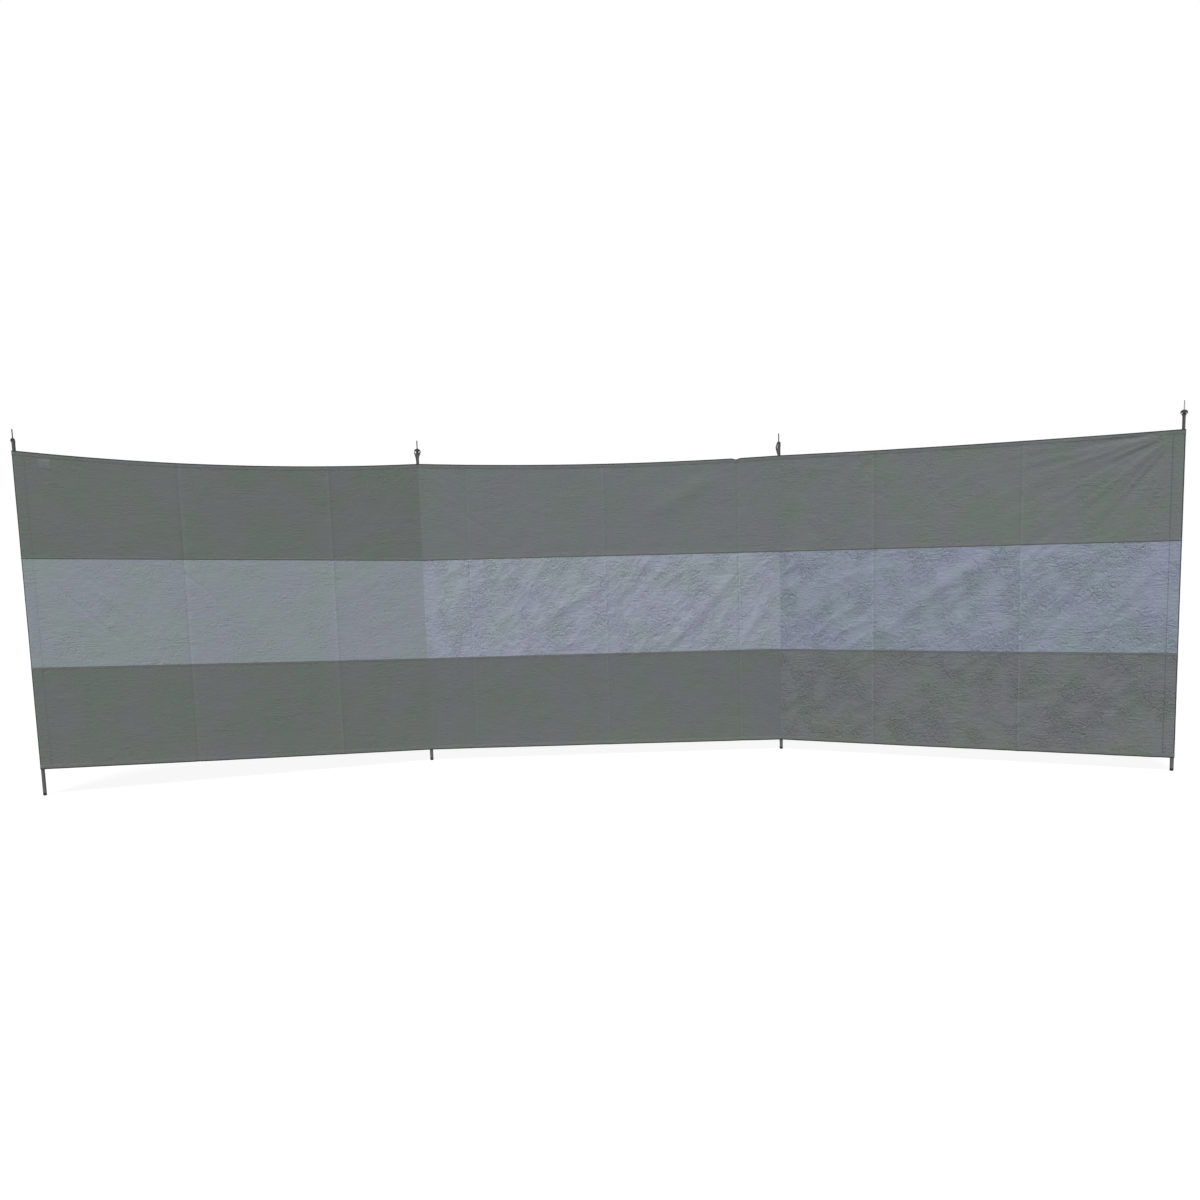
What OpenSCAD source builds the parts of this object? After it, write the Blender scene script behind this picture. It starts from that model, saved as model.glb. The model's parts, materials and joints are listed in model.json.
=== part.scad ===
// Beach windbreak: three bays of striped cloth on four poles that stand in the ground.
// Lengths are in millimetres. Z points up from ground level, the middle bay runs along X, and the
// front of the windbreak faces -Y. The origin is the middle of the foot of pole 2, at ground level.
// Poles are numbered and bays are named from the left, as seen from the front.

/* [Cloth] */
// Height of the cloth from its bottom edge to its top edge
cloth_h = 1400; // [1000:10:1800]
// Height of the lower dark stripe
lower_stripe_h = 452; // [350:2:550]
// Height of the light stripe. The upper dark stripe has the rest
light_stripe_h = 488; // [350:2:590]
// Distance between neighbouring poles
bay_w = 1750; // [1200:10:2400]
// Thickness of the cloth, more than the real one has
cloth_t = 3; // [2:0.5:4]
// Height of the turned hems along the top and the bottom
hem_h = 20; // [12:1:30]
// Thickness of the turned hems, more than the real ones have
hem_t = 4; // [3:0.5:5]
// How far the top edge of the left bay hangs below a straight line
left_sag = 34; // [0:1:60]
// How far the top edge of the middle bay hangs below a straight line
middle_sag = 20; // [0:1:60]
// How far the top edge of the right bay hangs below a straight line
right_sag = 7; // [0:1:60]

/* [Sleeves] */
// Thickness of the sleeve round a pole
sleeve_t = 1.5; // [1:0.5:3]
// Width of an end sleeve, from the middle of the pole to its stitches
end_sleeve_w = 40; // [25:1:60]
// Width of an inner sleeve, from the middle of the pole to its stitches
inner_sleeve_w = 24; // [20:1:40]
// Clearance between a pole and its sleeve
sleeve_gap = 0.3; // [0.2:0.1:1]
// Clearance between the sleeve of an inner pole and the end bay that swings about it
swing_gap = 0.3; // [0.2:0.1:1]

/* [Layout] */
// Angle that the left bay stands forward from straight, in degrees
left_swing = 18; // [-90:1:90]
// Angle that the right bay stands forward from straight, in degrees
right_swing = 27; // [-90:1:90]
// Height of the bottom of the cloth above the ground at pole 1
pole_1_clear = 120; // [30:1:200]
// Height of the bottom of the cloth above the ground at pole 2
pole_2_clear = 54; // [30:1:200]
// Height of the bottom of the cloth above the ground at pole 3
pole_3_clear = 48; // [30:1:200]
// Height of the bottom of the cloth above the ground at pole 4
pole_4_clear = 58; // [30:1:200]

/* [Poles] */
// Diameter of the lower tube
lower_tube_d = 16; // [13:0.5:25]
// Wall of the tubes where something plugs into them
tube_wall = 1.4; // [1:0.1:2]
// Height of the joint of the two tubes above the bottom of the cloth
tube_joint_h = 650; // [300:10:900]
// Depth that the upper tube plugs into the lower one
plug_l = 60; // [30:5:120]
// Clearance round each plugged end
plug_gap = 0.1; // [0.05:0.05:0.3]
// Height that pole 1 stands out of the cloth, up to its cap
pole_1_rise = 44; // [30:1:120]
// Height that pole 2 stands out of the cloth, up to its cap
pole_2_rise = 60; // [30:1:120]
// Height that pole 3 stands out of the cloth, up to its cap
pole_3_rise = 57; // [30:1:120]
// Height that pole 4 stands out of the cloth, up to its cap
pole_4_rise = 68; // [30:1:120]
// Height of the foot, which is as wide as the lower tube
foot_h = 12; // [8:1:30]
// Chamfer round the bottom of the foot
foot_chamfer = 2; // [0.5:0.5:4]
// Length of the spigots by which a foot and a cap plug into a tube
spigot_l = 15; // [8:1:30]

/* [Caps] */
// How far the slim caps, on poles 1 and 3, overhang the upper tube
slim_cap_lip = 1; // [0.5:0.5:3]
// Height of the slim caps
slim_cap_h = 8; // [6:0.5:8]
// Diameter of the wide caps, on poles 2 and 4
wide_cap_d = 27; // [24:1:40]
// Height of the wide caps
wide_cap_h = 11; // [8:0.5:12]
// Height of the straight edge of a cap's rim
rim_h = 1.5; // [1:0.5:3]
// Diameter of the pin
pin_d = 5; // [4:0.5:8]
// Diameter of the end of the pin that is held in the cap
pin_seat_d = 4; // [3:0.5:7]
// Length of the end of the pin that is held in the cap
pin_seat_l = 8; // [4:1:8]
// Length of the pin that stands out of the dome
pin_l = 40; // [20:1:60]
// Diameter of the collar at the root of the pin
collar_d = 6; // [5.5:0.5:8]
// Height of the collar
collar_h = 3; // [2.5:0.5:5]
// Chamfer of the pin's tip
pin_chamfer = 1; // [0.5:0.5:2]

/* [Loops] */
// Width of the loop's webbing
webbing_w = 10; // [9:1:14]
// Thickness of the webbing
webbing_t = 1.5; // [1:0.25:2]
// Clearance between the webbing and the cap, and round the collar in the webbing's eyelet
webbing_gap = 0.3; // [0.2:0.1:1]
// How far the right side of the loop on pole 1 bows out
loop_1_bow = 6; // [0:0.5:12]
// How far the left side of the loop on pole 3 bows out
loop_3_bow = 7; // [0:0.5:12]

/* [Hidden] */
POLES = ["pole_1", "pole_2", "pole_3", "pole_4"];
BAYS = ["left", "middle", "right"];
POLE_PIECES = ["_lower", "_upper", "_foot", "_cap", "_pin", "_loop", "_sleeve"];
BAY_PIECES = ["_bottom_hem", "_lower_stripe", "_middle_stripe", "_upper_stripe", "_top_hem"];
$fn = 64;

// Ground to the bottom of the cloth and top of the cloth to the cap at each pole, and sag of the top
// edge in each bay
clear_z = [pole_1_clear, pole_2_clear, pole_3_clear, pole_4_clear];
rise = [pole_1_rise, pole_2_rise, pole_3_rise, pole_4_rise];
sag = [left_sag, middle_sag, right_sag];

// Where each pole stands, and the direction from left to right along the cloth at each pole
bay_turn = [left_swing, 0, -right_swing];
pole_turn = [left_swing, 0, 0, -right_swing];
pole_xy = [
    -bay_w * [cos(left_swing), sin(left_swing)],
    [0, 0],
    [bay_w, 0],
    [bay_w, 0] + bay_w * [cos(right_swing), -sin(right_swing)]
];

// Poles: the upper tube fits into the lower one
lower_r = lower_tube_d / 2;
upper_r = lower_r - tube_wall - plug_gap;

// Sleeves: each has its flat part towards the bay that carries it
sleeve_bore_r = lower_r + sleeve_gap;
sleeve_r = sleeve_bore_r + sleeve_t;
sleeve_w = [end_sleeve_w, inner_sleeve_w, inner_sleeve_w, end_sleeve_w];
sleeve_turn = [0, 0, 180, 180];
flat_root_y = sleeve_bore_r + sleeve_t / 4;

// Where the cloth of each bay starts and ends, from the pole at its left
swing_r = sleeve_r + swing_gap;
cloth_start = [end_sleeve_w, inner_sleeve_w, swing_r];
cloth_end = [bay_w - swing_r, bay_w - inner_sleeve_w, bay_w - end_sleeve_w];

// The lines that the cloth is cut and sewn along, from the bottom edge to the top edge. The top edge
// and the line under its hem sag.
line_h = [0, hem_h, lower_stripe_h, lower_stripe_h + light_stripe_h, cloth_h - hem_h, cloth_h];
first_sagging_line = 4;
sag_steps = 24;

// Caps: the dome is part of a sphere, and stands on the rim
slim_cap_r = upper_r + slim_cap_lip;
cap_r = [slim_cap_r, wide_cap_d / 2, slim_cap_r, wide_cap_d / 2];
cap_h = [slim_cap_h, wide_cap_h, slim_cap_h, wide_cap_h];
dome_r = [for (i = [0:3]) let (h = cap_h[i] - rim_h) (cap_r[i] * cap_r[i] + h * h) / (2 * h)];
dome_half_angle = [for (i = [0:3]) asin(cap_r[i] / dome_r[i])];
dome_steps = 16;

// Loops: the middle line of the webbing goes up from the top of the sleeve beside the pole, over the
// dome and down again. Heights are above the cloth.
webbing_r = [for (r = dome_r) r + webbing_gap + webbing_t / 2];
webbing_foot_x = sleeve_bore_r + sleeve_t / 2;
dome_centre_z = rise + cap_h - dome_r;
left_bow = [0, 0, loop_3_bow, 0];
right_bow = [loop_1_bow, 0, 0, 0];
side_steps = 10;

DARK_CLOTH = [0.40, 0.42, 0.41];
LIGHT_CLOTH = [0.51, 0.54, 0.57];
HEM_CLOTH = [0.36, 0.38, 0.37];
TUBE_GREY = [0.42, 0.42, 0.43];
BLACK = [0.10, 0.10, 0.10];
STEEL = [0.70, 0.71, 0.72];

function cap_z(i) = clear_z[i] + cloth_h + rise[i];
function joint_z(i) = clear_z[i] + tube_joint_h;

// Height of one of the cloth's lines above the ground, at x from the pole at the left of the bay
function line_z(bay, line, x) =
    let (u = x / bay_w, base = clear_z[bay] * (1 - u) + clear_z[bay + 1] * u)
    base + line_h[line] - (line >= first_sagging_line ? 4 * sag[bay] * u * (1 - u) : 0);

function line_points(bay, line) =
    let (steps = line >= first_sagging_line ? sag_steps : 1, start = cloth_start[bay], end = cloth_end[bay])
    [for (k = [0:steps]) let (x = start + (end - start) * k / steps) [x, line_z(bay, line, x)]];

function reversed(list) = [for (k = [len(list) - 1:-1:0]) list[k]];

// Point of loop i's middle line over the dome, at an angle from the top of the dome
function over_dome(i, angle) = [webbing_r[i] * sin(angle), dome_centre_z[i] + webbing_r[i] * cos(angle)];

// One side of a loop's middle line, from the sleeve up to the dome, for the right side of the pole
function loop_side(i, bow) =
    let (foot = [webbing_foot_x, webbing_gap], top = over_dome(i, dome_half_angle[i]))
    [for (k = [0:side_steps - 1]) let (u = k / side_steps)
        foot * (1 - u) + top * u + [bow * sin(180 * u) ^ 2, 0]];

function loop_line(i) = concat(
    [for (p = loop_side(i, left_bow[i])) [-p[0], p[1]]],
    [for (k = [0:dome_steps]) over_dome(i, dome_half_angle[i] * (2 * k / dome_steps - 1))],
    reversed(loop_side(i, right_bow[i]))
);

// Unit vector across a line of points at point k
function across(line, k) =
    let (d = line[min(k + 1, len(line) - 1)] - line[max(k - 1, 0)]) [-d[1], d[0]] / norm(d);

module at_pole(i) {
    translate([pole_xy[i][0], pole_xy[i][1], 0]) rotate([0, 0, pole_turn[i]]) children();
}

module pole_lower(i) {
    at_pole(i) color(TUBE_GREY) translate([0, 0, foot_h]) difference() {
        cylinder(r = lower_r, h = joint_z(i) - foot_h);
        translate([0, 0, joint_z(i) - foot_h - plug_l]) cylinder(r = lower_r - tube_wall, h = plug_l + 1);
        translate([0, 0, -1]) cylinder(r = lower_r - tube_wall, h = spigot_l + 1);
    }
}

module pole_upper(i) {
    bottom_z = joint_z(i) - plug_l;
    at_pole(i) color(TUBE_GREY) difference() {
        translate([0, 0, bottom_z]) cylinder(r = upper_r, h = cap_z(i) - bottom_z);
        translate([0, 0, cap_z(i) - spigot_l]) cylinder(r = upper_r - tube_wall, h = spigot_l + 1);
    }
}

module pole_foot(i) {
    spigot_r = lower_r - tube_wall - plug_gap;
    at_pole(i) color(BLACK) rotate_extrude() polygon([
        [0, 0],
        [lower_r - foot_chamfer, 0],
        [lower_r, foot_chamfer],
        [lower_r, foot_h],
        [spigot_r, foot_h],
        [spigot_r, foot_h + spigot_l],
        [0, foot_h + spigot_l]
    ]);
}

module pole_cap(i) {
    spigot_r = upper_r - tube_wall - plug_gap;
    seat_r = pin_seat_d / 2 + plug_gap;
    at_pole(i) translate([0, 0, cap_z(i)]) color(BLACK) difference() {
        rotate_extrude() polygon(concat(
            [[0, -spigot_l], [spigot_r, -spigot_l], [spigot_r, 0], [cap_r[i], 0]],
            [for (k = [dome_steps:-1:0]) let (a = dome_half_angle[i] * k / dome_steps)
                [dome_r[i] * sin(a), cap_h[i] - dome_r[i] + dome_r[i] * cos(a)]]
        ));
        translate([0, 0, cap_h[i] - pin_seat_l]) cylinder(r = seat_r, h = pin_seat_l + 1);
    }
}

module pole_pin(i) {
    pin_r = pin_d / 2;
    seat_r = pin_seat_d / 2;
    collar_r = collar_d / 2;
    at_pole(i) translate([0, 0, cap_z(i) + cap_h[i]]) color(STEEL) rotate_extrude() polygon([
        [0, -pin_seat_l],
        [seat_r, -pin_seat_l],
        [seat_r, 0],
        [collar_r, 0],
        [collar_r, collar_h],
        [pin_r, collar_h],
        [pin_r, pin_l - pin_chamfer],
        [pin_r - pin_chamfer, pin_l],
        [0, pin_l]
    ]);
}

module pole_loop(i) {
    line = loop_line(i);
    last = len(line) - 1;
    outer = [for (k = [0:last]) line[k] + across(line, k) * webbing_t / 2];
    inner = [for (k = [0:last]) line[k] - across(line, k) * webbing_t / 2];
    at_pole(i) translate([0, 0, clear_z[i] + cloth_h]) color(BLACK) difference() {
        rotate([90, 0, 0]) linear_extrude(webbing_w, center = true) polygon(concat(outer, reversed(inner)));
        translate([0, 0, rise[i]]) cylinder(r = collar_d / 2 + webbing_gap, h = 2 * cap_h[i]);
    }
}

// A ring round the pole, with a flat part that narrows to the thickness of the cloth at the stitches
module pole_sleeve(i) {
    at_pole(i) translate([0, 0, clear_z[i]]) rotate([0, 0, sleeve_turn[i]])
        color(DARK_CLOTH) linear_extrude(cloth_h) difference() {
            union() {
                circle(r = sleeve_r);
                polygon([
                    [0, -flat_root_y],
                    [sleeve_w[i], -cloth_t / 2],
                    [sleeve_w[i], cloth_t / 2],
                    [0, flat_root_y]
                ]);
            }
            circle(r = sleeve_bore_r);
        }
}

// The cloth of one bay between two of its lines
module cloth_strip(bay, line, thickness) {
    translate([pole_xy[bay][0], pole_xy[bay][1], 0]) rotate([0, 0, bay_turn[bay]])
        rotate([90, 0, 0]) linear_extrude(thickness, center = true)
            polygon(concat(line_points(bay, line), reversed(line_points(bay, line + 1))));
}

module bottom_hem(bay) { color(HEM_CLOTH) cloth_strip(bay, 0, hem_t); }
module lower_stripe(bay) { color(DARK_CLOTH) cloth_strip(bay, 1, cloth_t); }
module middle_stripe(bay) { color(LIGHT_CLOTH) cloth_strip(bay, 2, cloth_t); }
module upper_stripe(bay) { color(DARK_CLOTH) cloth_strip(bay, 3, cloth_t); }
module top_hem(bay) { color(HEM_CLOTH) cloth_strip(bay, 4, hem_t); }

for (i = [0:3]) {
    pole_lower(i);
    pole_upper(i);
    pole_foot(i);
    pole_cap(i);
    pole_pin(i);
    pole_loop(i);
    pole_sleeve(i);
}
for (bay = [0:2]) {
    bottom_hem(bay);
    lower_stripe(bay);
    middle_stripe(bay);
    upper_stripe(bay);
    top_hem(bay);
}
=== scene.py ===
"""Looks of a beach windbreak: three bays of striped cloth, sleeved onto four capped poles.

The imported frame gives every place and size. Each bay of cloth is a set of numpy surfaces that share
one height field of folds, creases and wrinkles, so that its stripes, seams and hems lie on each other.
"""
import json
import math

import bpy
import numpy as np
from bpy.props import FloatProperty, FloatVectorProperty, IntProperty, PointerProperty
from mathutils import Matrix, Vector


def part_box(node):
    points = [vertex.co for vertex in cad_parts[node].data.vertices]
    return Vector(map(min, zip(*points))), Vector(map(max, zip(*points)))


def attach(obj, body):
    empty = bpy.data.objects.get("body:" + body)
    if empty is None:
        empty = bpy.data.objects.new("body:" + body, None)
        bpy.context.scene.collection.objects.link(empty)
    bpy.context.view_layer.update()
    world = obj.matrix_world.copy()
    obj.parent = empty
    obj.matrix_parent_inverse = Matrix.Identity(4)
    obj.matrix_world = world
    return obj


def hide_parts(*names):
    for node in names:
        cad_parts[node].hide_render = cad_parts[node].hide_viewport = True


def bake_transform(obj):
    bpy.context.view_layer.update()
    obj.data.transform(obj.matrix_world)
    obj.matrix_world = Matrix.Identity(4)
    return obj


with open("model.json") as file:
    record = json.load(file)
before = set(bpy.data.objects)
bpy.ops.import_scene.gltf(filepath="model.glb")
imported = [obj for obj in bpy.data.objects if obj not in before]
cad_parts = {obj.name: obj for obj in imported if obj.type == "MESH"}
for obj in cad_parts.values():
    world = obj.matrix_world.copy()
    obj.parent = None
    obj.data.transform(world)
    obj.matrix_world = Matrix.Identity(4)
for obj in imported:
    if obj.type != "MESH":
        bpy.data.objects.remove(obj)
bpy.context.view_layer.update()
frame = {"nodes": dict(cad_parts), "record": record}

bl_info = {
    "name": "Beach Windbreak",
    "version": (1, 0, 0),
    "blender": (4, 5, 0),
    "location": "3D Viewport > Sidebar > Windbreak",
    "description": "Striped cloth, sleeves, loops and finishes of a beach windbreak",
    "category": "Add Mesh",
}

MM = 0.001
POLES = ("pole_1", "pole_2", "pole_3", "pole_4")


# ---------------------------------------------------------------- what the frame says


def body_with(node):
    """Name of the body that carries a CAD node."""
    return next(b for b, nodes in frame["record"]["behaviour"]["bodies"].items() if node in nodes)


def vertices_of(node):
    """A CAD node's vertices as an array of points."""
    return np.array([v.co for v in frame["nodes"][node].data.vertices], float)


class Pole:
    """A pole's place: its axis, the ends of its cloth, its cap and the body it moves with."""

    def __init__(self, name):
        low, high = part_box(name + "_foot")
        upper_low, upper_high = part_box(name + "_upper")
        sleeve_low, sleeve_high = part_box(name + "_sleeve")
        cap_low, cap_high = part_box(name + "_cap")
        self.name = name
        self.body = body_with(name + "_lower")
        self.axis = np.array([(low.x + high.x) / 2, (low.y + high.y) / 2])
        self.tube_r = (high.x - low.x) / 2
        self.upper_r = (upper_high.x - upper_low.x) / 2
        self.cap_rim = upper_high.z
        self.cloth_bottom, self.cloth_top = sleeve_low.z, sleeve_high.z
        self.cap_r = (cap_high.x - cap_low.x) / 2
        self.cap_top = cap_high.z


POLE = [Pole(name) for name in POLES]
CLOTH_H = POLE[1].cloth_top - POLE[1].cloth_bottom
LOW_SEAM, HIGH_SEAM = (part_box(f"middle_{stripe}_stripe")[1].z - POLE[1].cloth_bottom
                       for stripe in ("lower", "middle"))
HEM_H = 20 * MM


# ---------------------------------------------------------------- settings that a user would change


def colour_setting(name, description, default):
    """A colour that a user can change."""
    return FloatVectorProperty(
        name=name, description=description, subtype="COLOR", size=3, min=0, max=1, default=default)


def length_setting(name, description, low, high, default):
    """A length that a user can change, with its limits."""
    return FloatProperty(
        name=name, description=description, unit="LENGTH", min=low, max=high, default=default)


def angle_setting(name, description, degrees):
    """An angle that a user can change."""
    return FloatProperty(
        name=name, description=description, subtype="ANGLE", default=math.radians(degrees))


def light_setting(name, description, default):
    """The strength of a light, which a user can change."""
    return FloatProperty(name=name, description=description, min=0, default=default)


class ClothSettings(bpy.types.PropertyGroup):
    """Cloth of the three bays and of the sleeves."""

    dark: colour_setting("Dark cloth", "Colour of the upper and lower stripes", (0.154, 0.169, 0.165))
    light: colour_setting("Light cloth", "Colour of the middle stripe", (0.261, 0.287, 0.331))
    thickness: length_setting("Thickness", "Thickness of the cloth", 0.0002, 0.002, 0.6 * MM)
    dark_grid: length_setting("Dark grid", "Spacing of the mesh in the dark stripes", 0.004, 0.03, 8 * MM)
    light_grid: length_setting("Light grid", "Spacing of the mesh in the light stripe", 0.004, 0.03, 6 * MM)
    fold_pitch: length_setting(
        "Fold pitch", "Distance between the creases left by folding the cloth away", 0.2, 1.5, 0.66)
    seed: IntProperty(
        name="Seed", description="Picks another set of small wrinkles", min=0, default=7)


class PoleSettings(bpy.types.PropertyGroup):
    """Tubes, caps, pins and webbing."""

    tube: colour_setting("Tube", "Colour of the coated steel tubes", (0.105, 0.106, 0.110))
    plastic: colour_setting("Plastic", "Colour of the caps and feet", (0.022, 0.022, 0.023))
    webbing: colour_setting("Webbing", "Colour of the loops", (0.105, 0.105, 0.109))
    # The pins are all one steel: Steel is it with painted light, for the pin that stands in the light, and
    # Dull steel is it with painted shade, for the pins in shade.
    steel: colour_setting("Steel", "Colour of the pins", (0.36, 0.36, 0.37))
    dull_steel: colour_setting("Dull steel", "Colour of the pins that have darkened", (0.060, 0.060, 0.062))
    webbing_width: length_setting("Webbing width", "Width of a loop's webbing", 0.006, 0.015, 8 * MM)
    webbing_thickness: length_setting(
        "Webbing thickness", "Thickness of a loop's webbing", 0.0005, 0.002, 1.3 * MM)


class StageSettings(bpy.types.PropertyGroup):
    """Camera, lights and floor."""

    lens: FloatProperty(
        name="Lens", description="Focal length for a sensor 36 mm wide, in millimetres",
        min=10, max=200, default=33.92)
    shift_y: FloatProperty(
        name="Shift", description="Upward shift of the view, as a share of its width",
        min=-0.5, max=0.5, default=0.067)
    pitch: angle_setting("Pitch", "Tilt of the camera above the horizon", -7.17)
    yaw: angle_setting("Yaw", "Turn of the camera to the right of straight ahead", 1.17)
    roll: angle_setting("Roll", "Turn of the camera about its own line of sight", 1.63)
    place: FloatVectorProperty(
        name="Place", description="Where the camera stands",
        subtype="XYZ", unit="LENGTH", size=3, default=(0.736, -5.568, 1.074))
    key: light_setting("Key light", "Strength of the main lamp", 3.03)
    fill: light_setting("Fill light", "Strength of the second lamp", 0.18)
    back: light_setting("Back light", "Strength of the low lamp that lights the far side", 1.2)
    sky: light_setting("Sky", "Strength of the even light from all round", 0.19)


# ---------------------------------------------------------------- shader building


def maths(operation, reflected=False):
    """A method of a value that adds a Math node: on the value and what follows it, or the other way
    round."""

    def method(value, *others):
        terms = (*others, value) if reflected else (value, *others)
        return value.nodes.add("ShaderNodeMath", {"operation": operation}, terms)

    return method


class Value:
    """A number inside a material. Sums written with it add the Math nodes that work them out."""

    def __init__(self, nodes, socket):
        self.nodes = nodes
        self.socket = socket

    __add__ = __radd__ = maths("ADD")
    __sub__ = maths("SUBTRACT")
    __rsub__ = maths("SUBTRACT", reflected=True)
    __mul__ = __rmul__ = maths("MULTIPLY")
    __truediv__ = maths("DIVIDE")
    __abs__ = maths("ABSOLUTE")
    sine = maths("SINE")
    fraction = maths("FRACT")
    lesser = maths("MINIMUM")

    def step(self, low, high):
        """0 below low, 1 above high and smooth between them, or the other way round if low > high."""
        backwards = low > high
        first, last = (high, low) if backwards else (low, high)
        settings = {"interpolation_type": "SMOOTHSTEP"}
        inputs = {"Value": self, "From Min": first, "From Max": last}
        result = self.nodes.add("ShaderNodeMapRange", settings, inputs)
        return 1 - result if backwards else result


def opaque(colour):
    """A colour for a socket: three numbers get an alpha of 1, and a link stays as it is."""
    return (*colour, 1) if hasattr(colour, "__len__") else colour


class Nodes:
    """The node tree of one material, with one method that adds any node."""

    def __init__(self, name):
        self.material = bpy.data.materials.new(name)
        self.material.use_nodes = True
        self.tree = self.material.node_tree
        self.tree.nodes.clear()

    def add(self, kind, settings=None, inputs=None, output=0):
        """Adds a node, sets its settings, then fills its sockets by name or by number."""
        node = self.tree.nodes.new(kind)
        for key, value in (settings or {}).items():
            setattr(node, key, value)
        if inputs is not None and not hasattr(inputs, "items"):
            inputs = dict(enumerate(inputs))
        for key, value in (inputs or {}).items():
            if hasattr(value, "socket"):
                self.tree.links.new(value.socket, node.inputs[key])
            else:
                node.inputs[key].default_value = value
        return Value(self, node.outputs[output])

    def place(self):
        """Object coordinates, in metres."""
        return self.add("ShaderNodeTexCoord", output="Object")

    def parts(self, vector):
        """The three numbers of a vector."""
        first = self.add("ShaderNodeSeparateXYZ", None, {0: vector})
        return [Value(self, first.socket.node.outputs[k]) for k in range(3)]

    def stretched(self, vector, scale, turn=(0, 0, 0)):
        """A vector turned and then scaled along each axis."""
        return self.add("ShaderNodeMapping", None, {"Vector": vector, "Scale": scale, "Rotation": turn})

    def noise(self, vector, scale=1.0, detail=2.0, roughness=0.5, distortion=0.0):
        """Noise from 0 to 1, about 0.5 on average."""
        inputs = {"Vector": vector, "Scale": scale, "Detail": detail, "Roughness": roughness,
                  "Distortion": distortion}
        return self.add("ShaderNodeTexNoise", None, inputs)

    def mix(self, factor, first, second):
        """Colour between first and second. The colour sockets of a Mix node are its inputs 6 and 7 and
        its output 2."""
        inputs = {0: factor, 6: opaque(first), 7: opaque(second)}
        return self.add("ShaderNodeMix", {"data_type": "RGBA"}, inputs, output=2)

    def bump(self, height):
        """Normal of a surface raised by a height in metres."""
        return self.add("ShaderNodeBump", None, {"Height": height, "Distance": 1.0, "Strength": 1.0})

    def finish(self, colour, roughness, height=None, **constants):
        """Principled shader with that colour, roughness and height, and constants by socket name."""
        inputs = {"Base Color": opaque(colour), "Roughness": roughness}
        if height is not None:
            inputs["Normal"] = self.bump(height)
        inputs.update({key.replace("_", " "): value for key, value in constants.items()})
        shader = self.add("ShaderNodeBsdfPrincipled", None, inputs)
        self.add_output(shader)
        return self.material

    def add_output(self, shader):
        """Joins a shader to the material's output."""
        output = self.tree.nodes.new("ShaderNodeOutputMaterial")
        self.tree.links.new(shader.socket, output.inputs["Surface"])


def shade(colour, factor, tint=(1, 1, 1)):
    """A colour made lighter or darker, and tinted."""
    return tuple(min(1.0, c * factor * t) for c, t in zip(colour, tint))


# ---------------------------------------------------------------- materials


# Spacing of the threads, length of a stitch with its gap, and how far a seam's line of painted shade reaches
THREAD = 0.9 * MM
STITCH = 3.4 * MM
SEAM_SHADE_LINE = 5 * MM
# Rows of stitches beside a sleeve's edge, and how far round an end sleeve the painted shade on its outer side
# starts
SLEEVE_ROWS = (2.5 * MM, 7 * MM)
PAINTED_SHADE_SIDE = 43 * MM
# The slanted crinkles: turn in degrees, how fine they are along and across, and their share
SLANTS = ((-54, (14, 85, 1), 1.0), (-38, (22, 150, 1), 0.7), (75, (18, 95, 1), 0.5))


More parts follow.
